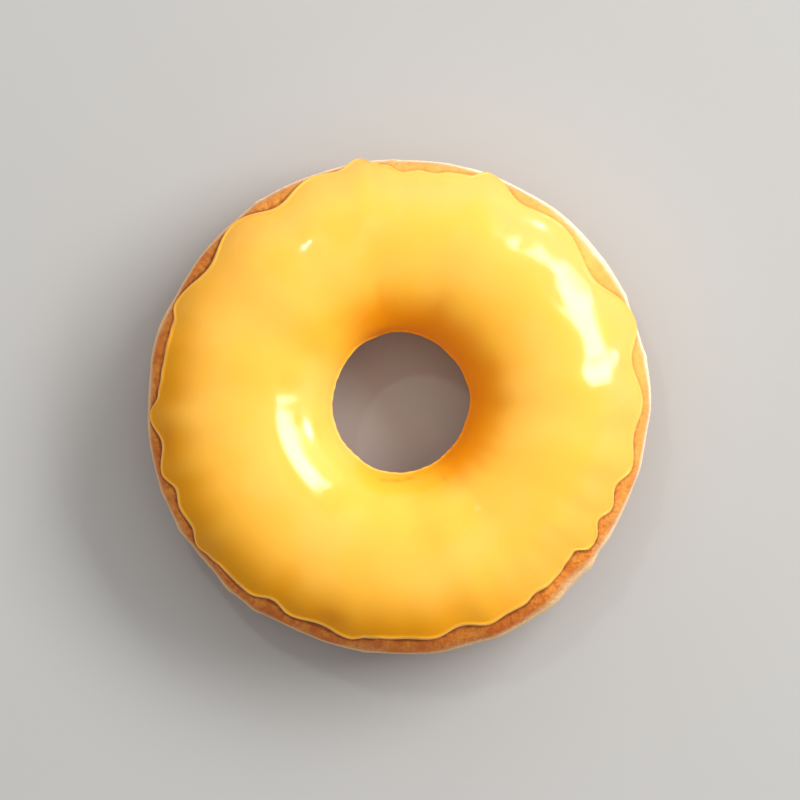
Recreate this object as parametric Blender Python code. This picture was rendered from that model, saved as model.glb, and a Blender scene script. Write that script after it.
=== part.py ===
"""Iced ring doughnut at its real size: a raised dough ring and the icing that it was dipped in.

Metres, +Z up. The ring lies flat on z = 0 with its axis upright.
Azimuth runs anticlockwise from +X as seen from above. A cross-section of the ring is
walked by an angle: 0 at the widest line outside, a quarter turn at the crest, half a
turn at the wall of the hole and three quarters underneath.
"""

import math

import bpy
import numpy as np

TAU = 2 * math.pi

# The dough ring
OUTER_RADIUS = 0.04755
HOLE_RADIUS = 0.0132
HOLE_OFFSET = (0.0002, 0.00066)  # the hole sits a little off the middle, towards +Y
WIDEST_HEIGHT = 0.0138  # of the widest line above the table
CREST_RISE = 0.0157  # from the widest line up to the crest
BASE_DROP = 0.0150  # from the widest line down, if the table hadn't flattened it
ROUNDNESS = 2.15  # 2 is an ellipse, and more is squarer

# The icing, measured outwards from the dough
ICING_GAP = 0.0003
CREST_THICKNESS = 0.0012
LIP_THICKNESS = 0.0008

# Uneven dough: (waves round the ring, height of a wave, azimuth of a wave's top in degrees)
OUTLINE_WAVES = ((2, 0.00035, 172), (3, 0.00022, 48), (7, 0.00016, 25), (11, 0.00013, 6), (16, 0.00012, 209))
HOLE_WAVES = ((2, 0.00019, 75), (3, 0.00010, 112), (4, 0.00012, 8), (6, 0.00006, 11))
CREST_WAVES = ((1, 0.00040, 250), (3, 0.00022, 20), (5, 0.00018, 130))

# Single swellings and hollows of the outline: (azimuth and half width in degrees, height)
OUTLINE_SWELLINGS = (
    (50, 12, 0.00040),
    (74, 6, -0.00038),
    (138, 9, -0.00055),
    (177, 8, -0.00038),
    (196, 7, 0.00020),
    (210, 20, 0.00042),
    (255, 9, 0.00020),
    (293, 3.5, 0.00030),
    (308, 4.5, 0.00060),
    (334, 11, -0.00072),
    (359, 5, 0.00042),
)

# Gentle swells in the icing's thickness
SWELL_WAVES = ((9, 0.00010, 12), (14, 0.00008, 35))

# The outer edge of the icing, drip by drip round the ring: azimuth of the drip's tip in
# degrees, then how far inside the dough's widest outline the tip and the middle of the
# bay after it lie, seen from above, in millimetres. A tip below 0 hangs past the outline
DRIPS = (
    (20.0, 0.15, 4.25),
    (48.0, 1.95, 2.70),
    (69.0, 0.05, 1.60),
    (77.5, 2.00, 2.60),
    (85.5, 2.25, 2.70),
    (93.5, 1.30, 0.70),
    (99.0, -0.55, 0.85),
    (110.5, 0.60, 3.10),
    (132.5, 0.60, 2.85),
    (155.5, 0.95, 2.35),
    (164.0, 2.75, 2.80),
    (173.0, 2.55, 2.05),
    (182.0, 0.65, 2.65),
    (196.0, 1.40, 2.95),
    (205.0, 2.25, 2.50),
    (215.0, 1.10, 1.60),
    (222.0, 2.10, 2.15),
    (231.0, 2.30, 3.65),
    (242.5, 2.45, 3.15),
    (258.0, 2.30, 3.00),
    (266.0, 3.35, 3.60),
    (278.5, 3.30, 4.35),
    (292.5, 3.35, 3.65),
    (302.0, 3.55, 4.40),
    (310.5, 3.85, 3.80),
    (317.0, 4.35, 4.65),
    (323.3, 2.60, 2.40),
    (326.0, 2.60, 3.90),
    (334.0, 2.60, 3.75),
    (345.0, 2.00, 2.70),
    (361.0, 2.00, 3.10),
)
DRIP_SHARPNESS = 2.0  # 2 makes tip and bay alike, and less narrows the tip

# The icing's edge in the hole, in the same way: it hangs past the hole's narrowest outline
WALL_EDGE_INSET = -0.00018
WALL_EDGE_WAVES = ((9, 0.00004, 9), (12, 0.00004, 3))

# Faces of the two solids
DOUGH_FACES = (80, 28)
ICING_FACES_ROUND = 144
SKIN_FACES = 14
UNDERSIDE_FACES = 10
LIP_FACES = 4

# Finishes
DOUGH_COLOUR = (0.72, 0.42, 0.17, 1.0)
DOUGH_ROUGHNESS = 0.7
ICING_COLOUR = (0.95, 0.62, 0.09, 1.0)
ICING_ROUGHNESS = 0.15


def waves(azimuth, table):
    """Sum of the waves of a table at each azimuth."""
    return sum(height * np.cos(count * (azimuth - math.radians(top))) for count, height, top in table)


def swellings(azimuth, table):
    """Sum of the single swellings of a table at each azimuth."""
    total = np.zeros_like(azimuth)
    for middle, half_width, height in table:
        away = (azimuth - math.radians(middle) + math.pi) % TAU - math.pi
        total += height * np.exp(-((away / math.radians(half_width)) ** 2))
    return total


def signed_power(value, exponent):
    """A power that keeps the sign of its base."""
    return np.sign(value) * np.abs(value) ** exponent


def ring_at(azimuth):
    """Middle radius, half width and crest rise of the dough at each azimuth."""
    outer = OUTER_RADIUS + waves(azimuth, OUTLINE_WAVES) + swellings(azimuth, OUTLINE_SWELLINGS)
    offset = HOLE_OFFSET[0] * np.cos(azimuth) + HOLE_OFFSET[1] * np.sin(azimuth)
    inner = HOLE_RADIUS + offset + waves(azimuth, HOLE_WAVES)
    return (outer + inner) / 2, (outer - inner) / 2, CREST_RISE + waves(azimuth, CREST_WAVES)


def dough_surface(azimuth, angle, lift=0.0):
    """Points of the dough's skin, or of a layer that lies lift above it."""
    middle, half_width, rise = ring_at(azimuth)
    height = np.where(np.sin(angle) > 0, rise, BASE_DROP)
    across = signed_power(np.cos(angle), 2 / ROUNDNESS)
    up = signed_power(np.sin(angle), 2 / ROUNDNESS)
    normal_across = signed_power(across, ROUNDNESS - 1) / half_width
    normal_up = signed_power(up, ROUNDNESS - 1) / height
    steepness = np.hypot(normal_across, normal_up)
    radius = middle + across * half_width + lift * normal_across / steepness
    z = WIDEST_HEIGHT + up * height + lift * normal_up / steepness
    return np.stack([radius * np.cos(azimuth), radius * np.sin(azimuth), np.maximum(z, 0)], axis=-1)


def edge_angle(azimuth, inset):
    """Section angle at which the icing's lip lies inset inside the dough's outline, seen from above."""
    half_width = ring_at(azimuth)[1]
    across = (half_width - inset) / (half_width + ICING_GAP + LIP_THICKNESS)
    return np.arccos(across ** (ROUNDNESS / 2))


def drip_edge(azimuth):
    """Section angle of the icing's outer edge, drip to drip."""
    degrees = np.degrees(azimuth) % 360
    edge = np.zeros_like(azimuth)
    first = DRIPS[0]
    following = (*DRIPS[1:], (first[0] + 360, *first[1:]))
    for (start, tip, bay), (end, next_tip, _) in zip(DRIPS, following):
        share = ((degrees - start) % 360) / (end - start)
        low = edge_angle(azimuth, np.where(share < 0.5, tip, next_tip) / 1000)
        high = edge_angle(azimuth, bay / 1000)
        climb = np.sin(math.pi * np.clip(share, 0, 1)) ** DRIP_SHARPNESS
        edge = np.where(share < 1, low + (high - low) * climb, edge)
    return edge


def wall_edge(azimuth):
    """Section angle of the icing's edge in the hole."""
    return math.pi - edge_angle(azimuth, WALL_EDGE_INSET + waves(azimuth, WALL_EDGE_WAVES))


def icing_outline():
    """Closed outline of the icing's section: run from the outer edge (0) to the edge in
    the hole (1), level from the underside (0) to the skin (1), and how far a point
    bulges past an edge, in half lip thicknesses.
    """
    skin = [(i / SKIN_FACES, 1, 0) for i in range(SKIN_FACES)]
    underside = [(1 - i / UNDERSIDE_FACES, 0, 0) for i in range(UNDERSIDE_FACES)]
    quarter = [math.pi * (0.5 - i / LIP_FACES) for i in range(LIP_FACES)]
    inner_lip = [(1, (1 + math.sin(a)) / 2, math.cos(a)) for a in quarter]
    outer_lip = [(0, (1 - math.sin(a)) / 2, -math.cos(a)) for a in quarter]
    return np.array(skin + inner_lip + underside + outer_lip).T


def icing_surface(azimuth, station):
    """Points of the icing at each azimuth, for each station of its outline."""
    run, level, bulge = (values[station] for values in icing_outline())
    start = drip_edge(azimuth)
    end = wall_edge(azimuth)
    body = np.sin(math.pi * run)
    thickness = LIP_THICKNESS + (CREST_THICKNESS - LIP_THICKNESS) * body + waves(azimuth, SWELL_WAVES) * body
    past_edge = bulge * LIP_THICKNESS / 2 / ring_at(azimuth)[1]
    return dough_surface(azimuth, start + (end - start) * run + past_edge, ICING_GAP + level * thickness)


def torus(name, faces_round, faces_across):
    """A torus primitive of the ring's mean size, and each vertex's azimuth and station."""
    middle = (OUTER_RADIUS + HOLE_RADIUS) / 2
    bpy.ops.mesh.primitive_torus_add(
        major_segments=faces_round,
        minor_segments=faces_across,
        major_radius=middle,
        minor_radius=(OUTER_RADIUS - HOLE_RADIUS) / 2,
    )
    ring = bpy.context.object
    ring.name = name
    ring.data.name = name
    points = np.empty(len(ring.data.vertices) * 3)
    ring.data.vertices.foreach_get("co", points)
    x, y, z = points.reshape(-1, 3).T
    turn = np.arctan2(z, np.hypot(x, y) - middle) / TAU
    return ring, np.arctan2(y, x), np.round(turn * faces_across).astype(int) % faces_across


def shape(ring, points, colour, roughness):
    """Moves the torus's vertices to their points and gives the ring its material."""
    ring.data.vertices.foreach_set("co", points.ravel())
    ring.data.update()
    ring.data.shade_smooth()
    material = bpy.data.materials.new(ring.name)
    material.use_nodes = True
    surface = material.node_tree.nodes["Principled BSDF"]
    surface.inputs["Base Color"].default_value = colour
    surface.inputs["Roughness"].default_value = roughness
    ring.data.materials.append(material)


def make_dough():
    """The raised dough ring, flattened where it lies."""
    ring, azimuth, station = torus("dough_ring", *DOUGH_FACES)
    shape(ring, dough_surface(azimuth, station * TAU / DOUGH_FACES[1]), DOUGH_COLOUR, DOUGH_ROUGHNESS)
    return ring


def make_icing():
    """The icing over the upper half, with a round lip at both of its edges."""
    outline_faces = SKIN_FACES + UNDERSIDE_FACES + 2 * LIP_FACES
    ring, azimuth, station = torus("lemon_icing", ICING_FACES_ROUND, outline_faces)
    shape(ring, icing_surface(azimuth, station), ICING_COLOUR, ICING_ROUGHNESS)
    return ring


def stand_on_origin(pieces, name):
    """Parents the pieces to an empty that puts the middle of their underside at the origin."""
    corners = np.concatenate([np.array([v.co for v in piece.data.vertices]) for piece in pieces])
    low, high = corners.min(axis=0), corners.max(axis=0)
    whole = bpy.data.objects.new(name, None)
    whole.location = (-(low[0] + high[0]) / 2, -(low[1] + high[1]) / 2, -low[2])
    collection = bpy.data.collections.new(name)
    bpy.context.scene.collection.children.link(collection)
    collection.objects.link(whole)
    for piece in pieces:
        for holder in list(piece.users_collection):
            holder.objects.unlink(piece)
        collection.objects.link(piece)
        piece.parent = whole


def main():
    """Clears the scene and makes the doughnut."""
    for old in list(bpy.data.objects):
        bpy.data.objects.remove(old)
    stand_on_origin([make_dough(), make_icing()], "iced_doughnut")


main()
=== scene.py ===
"""Looks of an iced lemon doughnut: fried crust, set lemon icing and a plain studio.

The shapes repeat the rule of the solids, finer and with relief. Lengths are in metres
unless a name says otherwise, and +Z is up. Azimuth runs anticlockwise from +X as seen
from above. A section of the ring is walked by an angle: 0 at the widest line outside, a
quarter turn at the crest, half a turn at the wall of the hole.
"""

import logging
import math
from abc import ABC, abstractmethod
from dataclasses import dataclass
from enum import Enum
from typing import Union

import bpy
import numpy as np
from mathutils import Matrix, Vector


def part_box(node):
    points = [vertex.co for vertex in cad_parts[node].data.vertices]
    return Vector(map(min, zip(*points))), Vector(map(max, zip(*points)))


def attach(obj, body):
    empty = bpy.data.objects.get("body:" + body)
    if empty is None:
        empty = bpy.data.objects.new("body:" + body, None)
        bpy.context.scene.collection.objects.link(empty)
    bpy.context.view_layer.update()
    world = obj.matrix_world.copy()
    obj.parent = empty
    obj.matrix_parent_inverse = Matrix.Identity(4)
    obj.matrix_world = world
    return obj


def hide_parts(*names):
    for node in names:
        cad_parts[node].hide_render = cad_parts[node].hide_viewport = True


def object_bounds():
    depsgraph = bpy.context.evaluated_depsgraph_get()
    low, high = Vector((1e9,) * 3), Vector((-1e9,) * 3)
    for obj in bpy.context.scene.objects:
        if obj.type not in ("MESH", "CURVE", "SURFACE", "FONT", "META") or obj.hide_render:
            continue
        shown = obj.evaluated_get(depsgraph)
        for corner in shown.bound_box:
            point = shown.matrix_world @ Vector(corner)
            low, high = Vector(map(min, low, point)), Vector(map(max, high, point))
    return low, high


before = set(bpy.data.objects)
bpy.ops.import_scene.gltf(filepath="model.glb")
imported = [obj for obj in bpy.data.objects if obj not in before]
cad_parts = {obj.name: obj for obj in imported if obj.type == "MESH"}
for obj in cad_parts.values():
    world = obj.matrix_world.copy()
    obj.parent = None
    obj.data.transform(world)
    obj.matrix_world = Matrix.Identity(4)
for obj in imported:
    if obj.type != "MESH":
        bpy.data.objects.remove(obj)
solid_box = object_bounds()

log = logging.getLogger("lemon_doughnut")

TAU = 2 * math.pi
MM = 0.001
Colour = tuple[float, float, float]
Span = tuple[float, float]
Feed = Union["Field", bpy.types.NodeSocket, float, int, str, tuple]


class Node(Enum):
    """The solids that the pieces stand for."""

    DOUGH = "dough_ring"
    ICING = "lemon_icing"


class Slot(Enum):
    """The finishes of the record."""

    DOUGH = "dough"
    ICING = "icing"


class Bench:
    """Adds nodes to one node tree and links them."""

    SHARE, FIRST, SECOND, BLENDED = 0, 6, 7, 2  # a Mix node's sockets where it blends colours

    def __init__(self, tree: bpy.types.NodeTree) -> None:
        """Keeps the tree that every node goes into."""
        self.tree = tree

    def plug(self, socket: bpy.types.NodeSocket, value: Feed) -> None:
        """Links a value to an input, or sets it there.

        Args:
            socket: The input.
            value: A field, an output socket or a plain value.
        """
        if isinstance(value, Field):
            value = value.socket
        if isinstance(value, bpy.types.NodeSocket):
            self.tree.links.new(value, socket)
        else:
            socket.default_value = value

    def node(self, kind: str, inputs: dict | None = None, **settings: object) -> bpy.types.Node:
        """Adds a node.

        Args:
            kind: Blender's name for the node's type.
            inputs: What goes into each input, by the input's name or number.
            **settings: The node's own properties.

        Returns:
            The new node.
        """
        node = self.tree.nodes.new(kind)
        for name, value in settings.items():
            setattr(node, name, value)
        for slot, value in (inputs or {}).items():
            self.plug(node.inputs[slot], value)
        return node

    def field(
        self, kind: str, inputs: dict | None = None, output: str | int = 0, **settings: object
    ) -> "Field":
        """Adds a node and gives one of its outputs as a field.

        Args:
            kind: Blender's name for the node's type.
            inputs: What goes into each input, by the input's name or number.
            output: The output's name or number.
            **settings: The node's own properties.

        Returns:
            The output.
        """
        return Field(self, self.node(kind, inputs, **settings).outputs[output])

    def math(self, operation: str, *operands: Feed) -> "Field":
        """One step of arithmetic."""
        return self.field("ShaderNodeMath", dict(enumerate(operands)), operation=operation)

    def ramp(self, value: Feed, start: Feed, end: Feed) -> "Field":
        """A smooth step from 0 at the start to 1 at the end, which may be the lower of the two."""
        inputs = {"Value": value, "From Min": start, "From Max": end}
        return self.field("ShaderNodeMapRange", inputs, interpolation_type="SMOOTHSTEP")

    def vector(self, x: Feed, y: Feed, z: Feed) -> "Field":
        """Three values as a vector."""
        return self.field("ShaderNodeCombineXYZ", {"X": x, "Y": y, "Z": z})

    def parts(self, place: Feed) -> tuple["Field", ...]:
        """X, Y and Z of a vector."""
        node = self.node("ShaderNodeSeparateXYZ", {0: place})
        return tuple(Field(self, node.outputs[axis]) for axis in "XYZ")

    def far(self, x: "Field", y: "Field") -> "Field":
        """How far a place is from the origin."""
        return self.math("SQRT", x * x + y * y)

    def noise(self, place: Feed, size: float, detail: float = 0.0, roughness: float = 0.5) -> "Field":
        """Soft noise from -1 to 1.

        Args:
            place: Where it is read.
            size: Rough width of one of its lumps.
            detail: Layers of finer noise on top.
            roughness: How strong each finer layer is.

        Returns:
            The noise.
        """
        inputs = {"Vector": place, "Scale": 1 / size, "Detail": detail, "Roughness": roughness}
        return self.field("ShaderNodeTexNoise", inputs, output="Fac") * 2 - 1

    def cells(self, place: Feed, size: float) -> "Field":
        """Cells about one size wide: the distance to the middle of the nearest, in cells."""
        return self.field("ShaderNodeTexVoronoi", {"Vector": place, "Scale": 1 / size}, output="Distance")

    def blend(self, share: Feed, first: Feed, second: Feed) -> "Field":
        """Two colours blended, by the share of the second one."""
        inputs = {self.SHARE: share, self.FIRST: rgba(first), self.SECOND: rgba(second)}
        return self.field("ShaderNodeMix", inputs, output=self.BLENDED, data_type="RGBA")

    def masks(self, *names: str) -> tuple["Field", ...]:
        """The values that a piece's points carry, for its material."""
        kind = "ShaderNodeAttribute"
        return tuple(self.field(kind, attribute_name=name, output="Fac") for name in names)


class Field:
    """A value of a node tree that adds its own nodes when it takes part in arithmetic."""

    def __init__(self, bench: Bench, socket: bpy.types.NodeSocket) -> None:
        """Keeps the output that holds the value."""
        self.bench = bench
        self.socket = socket

    def __add__(self, other: Feed) -> "Field":
        """Sum."""
        return self.bench.math("ADD", self, other)

    def __sub__(self, other: Feed) -> "Field":
        """Difference."""
        return self.bench.math("SUBTRACT", self, other)

    def __rsub__(self, other: Feed) -> "Field":
        """Difference from a number."""
        return self.bench.math("SUBTRACT", other, self)

    def __mul__(self, other: Feed) -> "Field":
        """Product."""
        return self.bench.math("MULTIPLY", self, other)

    def __truediv__(self, other: Feed) -> "Field":
        """Quotient."""
        return self.bench.math("DIVIDE", self, other)

    def __pow__(self, other: Feed) -> "Field":
        """Power."""
        return self.bench.math("POWER", self, other)

    def __mod__(self, other: Feed) -> "Field":
        """Remainder, never below 0."""
        return self.bench.math("FLOORED_MODULO", self, other)

    def __gt__(self, other: Feed) -> "Field":
        """1 where this is the larger, and 0 elsewhere."""
        return self.bench.math("GREATER_THAN", self, other)

    def __lt__(self, other: Feed) -> "Field":
        """1 where this is the smaller, and 0 elsewhere."""
        return self.bench.math("LESS_THAN", self, other)

    def cos(self) -> "Field":
        """Cosine."""
        return self.bench.math("COSINE", self)

    def sin(self) -> "Field":
        """Sine."""
        return self.bench.math("SINE", self)

    def hump(self) -> "Field":
        """A soft hump: 1 where the value is 0, and next to nothing past 2."""
        return self.bench.math("EXPONENT", self * self * -1.0)

    def signed_power(self, exponent: Feed) -> "Field":
        """A power that keeps the sign of its base."""
        return self.bench.math("ABSOLUTE", self) ** exponent * self.bench.math("SIGN", self)

    def within(self) -> "Field":
        """The value held between 0 and 1."""
        return self.bench.math("MINIMUM", self.bench.math("MAXIMUM", self, 0.0), 1.0)


Azimuths = Union[Field, np.ndarray]


def rgba(colour: Feed) -> Feed:
    """A plain colour with the alpha that a colour socket wants, and anything else as it is."""
    return (*colour, 1.0) if isinstance(colour, tuple) else colour


def srgb(red: int, green: int, blue: int) -> Colour:
    """A colour as a screen shows it, 0 to 255, in Blender's linear values.

    Args:
        red: The red of it.
        green: The green of it.
        blue: The blue of it.

    Returns:
        The linear colour.
    """
    shown = np.array([red, green, blue]) / 255
    return tuple(np.where(shown > 0.04045, ((shown + 0.055) / 1.055) ** 2.4, shown / 12.92).tolist())


class ShapeTree(Bench):
    """A geometry node tree with named inputs, which is run once to make a piece."""

    SEAM = 1e-6  # metres: points nearer than this are one

    def __init__(self, name: str) -> None:
        """Makes the tree with its output.

        Args:
            name: The tree's name.
        """
        super().__init__(bpy.data.node_groups.new(name, "GeometryNodeTree"))
        self.tree.interface.new_socket("Geometry", in_out="OUTPUT", socket_type="NodeSocketGeometry")
        self.entry = self.node("NodeGroupInput")
        self.settings: dict[str, object] = {}

    def size(self, name: str, value: float | int) -> Field:
        """Adds a named input.

        Args:
            name: The input's name.
            value: What the piece's modifier sets it to.

        Returns:
            The input.
        """
        kind = "NodeSocketInt" if isinstance(value, int) else "NodeSocketFloat"
        socket = self.tree.interface.new_socket(name, in_out="INPUT", socket_type=kind)
        self.settings[socket.identifier] = value
        return Field(self, self.entry.outputs[name])

    def sheet(self, faces_round: int, faces_across: int) -> tuple[bpy.types.NodeSocket, Field, Field]:
        """A flat sheet to be rolled up into a ring.

        Args:
            faces_round: Faces round the ring.
            faces_across: Faces round its section.

        Returns:
            The sheet, and how far a point is round the ring and round its section, 0 to 1.
        """
        vertices = {
            "Vertices X": self.size("Faces Round", faces_round) + 1,
            "Vertices Y": self.size("Faces Across", faces_across) + 1,
        }
        grid = self.node("GeometryNodeMeshGrid", {"Size X": 1.0, "Size Y": 1.0, **vertices})
        x, y, _ = self.parts(self.place())
        return grid.outputs["Mesh"], x + 0.5, y + 0.5

    def place(self) -> Field:
        """Where each point is."""
        return self.field("GeometryNodeInputPosition")

    def keep(
        self, mesh: bpy.types.NodeSocket, fields: dict[str, Field]
    ) -> tuple[bpy.types.NodeSocket, dict[str, Field]]:
        """Holds values on a mesh while its points move.

        Args:
            mesh: The mesh.
            fields: The values by name.

        Returns:
            The mesh, and the held values by name.
        """
        capture = self.node("GeometryNodeCaptureAttribute", domain="POINT")
        for name, value in fields.items():
            capture.capture_items.new("FLOAT", name)
            self.plug(capture.inputs[name], value)
        self.plug(capture.inputs["Geometry"], mesh)
        return capture.outputs["Geometry"], {name: Field(self, capture.outputs[name]) for name in fields}

    def roll_up(self, mesh: bpy.types.NodeSocket, place: Field) -> bpy.types.NodeSocket:
        """Moves a sheet's points to the ring and joins its seams.

        Args:
            mesh: The sheet.
            place: Where each point goes.

        Returns:
            The closed ring.
        """
        moved = self.node("GeometryNodeSetPosition", {"Geometry": mesh, "Position": place}).outputs[0]
        inputs = {"Geometry": moved, "Distance": self.SEAM}
        return self.node("GeometryNodeMergeByDistance", inputs).outputs[0]

    def raise_by(self, mesh: bpy.types.NodeSocket, height: Field) -> bpy.types.NodeSocket:
        """Moves points along their normals, but never out of the solids' box.

        Args:
            mesh: The mesh.
            height: How far each point moves outwards.

        Returns:
            The mesh with its relief.
        """
        normal = self.field("GeometryNodeInputNormal")
        offset = self.field("ShaderNodeVectorMath", {0: normal, "Scale": height}, operation="SCALE")
        moved = self.field("ShaderNodeVectorMath", {0: self.place(), 1: offset}, operation="ADD")
        for corner, side in zip(solid_box, ("MAXIMUM", "MINIMUM")):
            moved = self.field("ShaderNodeVectorMath", {0: moved, 1: tuple(corner)}, operation=side)
        return self.node("GeometryNodeSetPosition", {"Geometry": mesh, "Position": moved}).outputs[0]

    def store(self, mesh: bpy.types.NodeSocket, name: str, value: Field) -> bpy.types.NodeSocket:
        """Writes a value on the points, for the material to read.

        Args:
            mesh: The mesh.
            name: The attribute's name.
            value: The value at each point.

        Returns:
            The mesh with the attribute.
        """
        inputs = {"Geometry": mesh, "Name": name, "Value": value}
        kind = "GeometryNodeStoreNamedAttribute"
        return self.node(kind, inputs, data_type="FLOAT", domain="POINT").outputs[0]

    def piece(
        self, name: str, mesh: bpy.types.NodeSocket, material: bpy.types.Material
    ) -> bpy.types.Object:
        """Ends the tree, runs it and makes its result a plain mesh.

        Args:
            name: The piece's name.
            mesh: The finished geometry.
            material: Its material.

        Returns:
            The piece, in the scene, at the origin.
        """
        smooth = self.node("GeometryNodeSetShadeSmooth", {"Geometry": mesh})
        real = self.node("GeometryNodeRealizeInstances", {"Geometry": smooth.outputs[0]})
        dressed = self.node("GeometryNodeSetMaterial", {"Geometry": real.outputs[0], "Material": material})
        self.node("NodeGroupOutput", {"Geometry": dressed.outputs[0]})
        maker = bpy.data.objects.new(name + "_maker", bpy.data.meshes.new(name + "_maker"))
        bpy.context.scene.collection.objects.link(maker)
        modifier = maker.modifiers.new(name, "NODES")
        modifier.node_group = self.tree
        for identifier, value in self.settings.items():
            modifier[identifier] = value
        graph = bpy.context.evaluated_depsgraph_get()
        result = bpy.data.meshes.new_from_object(
            maker.evaluated_get(graph), preserve_all_data_layers=True, depsgraph=graph
        )
        maker.modifiers.remove(modifier)
        bpy.data.objects.remove(maker)
        result.name = name
        piece = bpy.data.objects.new(name, result)
        bpy.context.scene.collection.objects.link(piece)
        return piece


@dataclass(frozen=True)
class Wave:
    """One wave round the ring."""

    count: int
    height: float
    top: float  # azimuth of a wave's top, in degrees

    def at(self, azimuth: Azimuths) -> Azimuths:
        """The wave's height at an azimuth, for a field or an array of numbers."""
        turn = azimuth * self.count - self.count * math.radians(self.top)
        return (turn.cos() if isinstance(turn, Field) else np.cos(turn)) * self.height


@dataclass(frozen=True)
class Swelling:
    """A single swelling somewhere round the ring, or a hollow where its height is below 0."""

    azimuth: float  # degrees
    half_width: float  # degrees
    height: float

    def at(self, azimuth: Azimuths) -> Azimuths:
        """The swelling's height at an azimuth.

        Args:
            azimuth: A field, or an array of numbers.

        Returns:
            The height there, as the same.
        """
        behind = math.radians(self.azimuth) - math.pi
        away = ((azimuth - behind) % TAU - math.pi) / math.radians(self.half_width)
        return (away.hump() if isinstance(away, Field) else np.exp(-away * away)) * self.height


Profile = tuple[Union[Wave, Swelling], ...]


def profile_at(profile: Profile, azimuth: Azimuths) -> Azimuths:
    """The sum of waves and swellings at an azimuth."""
    return sum((form.at(azimuth) for form in profile[1:]), profile[0].at(azimuth))


@dataclass(frozen=True)
class Spot:
    """A soft place on the icing, by where it lies seen from above. Lengths are in millimetres."""

    azimuth: float  # degrees
    radius: float  # from the ring's axis
    across: float  # half width along the radius
    along: float  # half width round the ring
    amount: float

    def at(self, azimuth: Field, radius: Field) -> Field:
        """The spot's amount at a place.

        Args:
            azimuth: The place's azimuth.
            radius: Its distance from the ring's axis, in metres.

        Returns:
            The amount there, which fades out round the spot's middle.
        """
        half_turn = math.degrees(self.along / self.radius)
        away = (radius - self.radius * MM) / (self.across * MM)
        return Swelling(self.azimuth, half_turn, self.amount).at(azimuth) * away.hump()


@dataclass(frozen=True)
class Drip:
    """A drip of the icing's outer edge: how far inside the dough's outline its tip and the
    middle of the bay after it lie, seen from above, in millimetres."""

    azimuth: float  # degrees
    tip: float
    bay: float


@dataclass(frozen=True)
class Ripple:
    """Soft unevenness all over a surface."""

    size: float  # width of a lump, in metres
    height: float
    detail: float  # layers of finer noise on top
    roughness: float = 0.5  # how strong each finer layer is

    def at(self, tree: ShapeTree, place: Field) -> Field:
        """Its height at a place."""
        return tree.noise(place, self.size, self.detail, self.roughness) * self.height


@dataclass(frozen=True)
class Dots:
    """Small round rises or pits, one to a cell."""

    size: float  # of a cell, in metres
    span: Span  # how far from its middle one starts, and is full, in cells
    height: float

    def at(self, tree: ShapeTree, place: Field) -> Field:
        """Their height at a place."""
        return tree.ramp(tree.cells(place, self.size), *self.span) * self.height


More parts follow.
